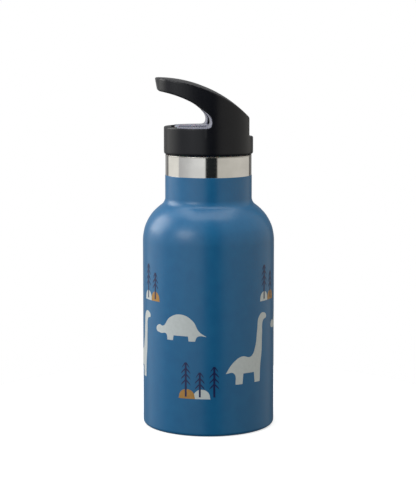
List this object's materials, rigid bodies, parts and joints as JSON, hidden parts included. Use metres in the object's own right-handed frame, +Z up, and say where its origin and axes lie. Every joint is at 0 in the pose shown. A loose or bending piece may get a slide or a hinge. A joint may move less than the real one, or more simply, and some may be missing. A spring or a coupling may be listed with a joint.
{
  "type": "kids water bottle",
  "caption": "Straight-sided insulated steel bottle for a child, with a screw lid, a hook handle over the lid, a straw and a drinking spout that folds into the deck.",
  "frame": {"origin": "on the bottle's axis, in the plane of the base ring that it stands on", "axes": "+Z up along the bottle's axis; the handle's tip and the folded spout point to -X; the hinge pins of the spout lie along Y"},
  "size_m": [0.07, 0.07, 0.1852],
  "materials": {
    "powder_coat": "satin powder coat, fine orange peel",
    "bare_steel": "turned and fine brushed stainless steel",
    "solder_glass": "dark fused glass bead",
    "getter_pill": "dull sintered metal",
    "lid_black": "fine spark-eroded moulded polypropylene",
    "clear_silicone": "satin translucent silicone",
    "straw_plastic": "semi-clear extruded polypropylene",
    "spout_smoke": "smoke-grey moulded copolyester",
    "mouthpiece_smoke": "satin smoke-grey silicone",
    "print_cream": "screen-printed ink, cream",
    "print_ochre": "screen-printed ink, ochre",
    "print_navy": "screen-printed ink, dark navy"
  },
  "bodies": {
    "bottle": {"outer_shell": "powder_coat", "inner_liner": "bare_steel", "liner_floor": "bare_steel", "bottom_plate": "bare_steel", "vacuum_seal": "solder_glass", "base_disc": "bare_steel", "getter_holder": "bare_steel", "getter": "getter_pill"},
    "seal_ring": {"neck_gasket": "clear_silicone"},
    "lid": {"lid_shell": "lid_black", "lid_plug": "lid_black", "plug_base": "lid_black", "vent_valve": "clear_silicone", "spout_seal": "clear_silicone", "spout_pin_near": "bare_steel", "spout_pin_far": "bare_steel", "pin_bush_near": "clear_silicone", "pin_bush_far": "clear_silicone"},
    "spout": {"spout": "spout_smoke", "mouthpiece": "mouthpiece_smoke"},
    "straw": {"straw": "straw_plastic"}
  },
  "joints": [
    {"name": "lid_lift", "type": "slide", "parent": "bottle", "child": "seal_ring", "axis": [0, 0, 1], "range_m": [0, 0.144]},
    {"name": "lid_turn", "type": "hinge", "parent": "seal_ring", "child": "lid", "pos_m": [0, 0, 0.1444], "axis": [0, 0, 1], "range_deg": [0, 4320]},
    {"name": "spout_flip", "type": "hinge", "parent": "lid", "child": "spout", "pos_m": [0.009, 0, 0.15492], "axis": [0, 1, 0], "range_deg": [0, 95]},
    {"name": "straw_pull", "type": "slide", "parent": "lid", "child": "straw", "axis": [0, 0, -1], "range_m": [0, 0.0082]}
  ],
  "couplings": [
    {"joint": "lid_lift", "follows": "lid_turn", "m_per_rad": 0.0019099}
  ]
}
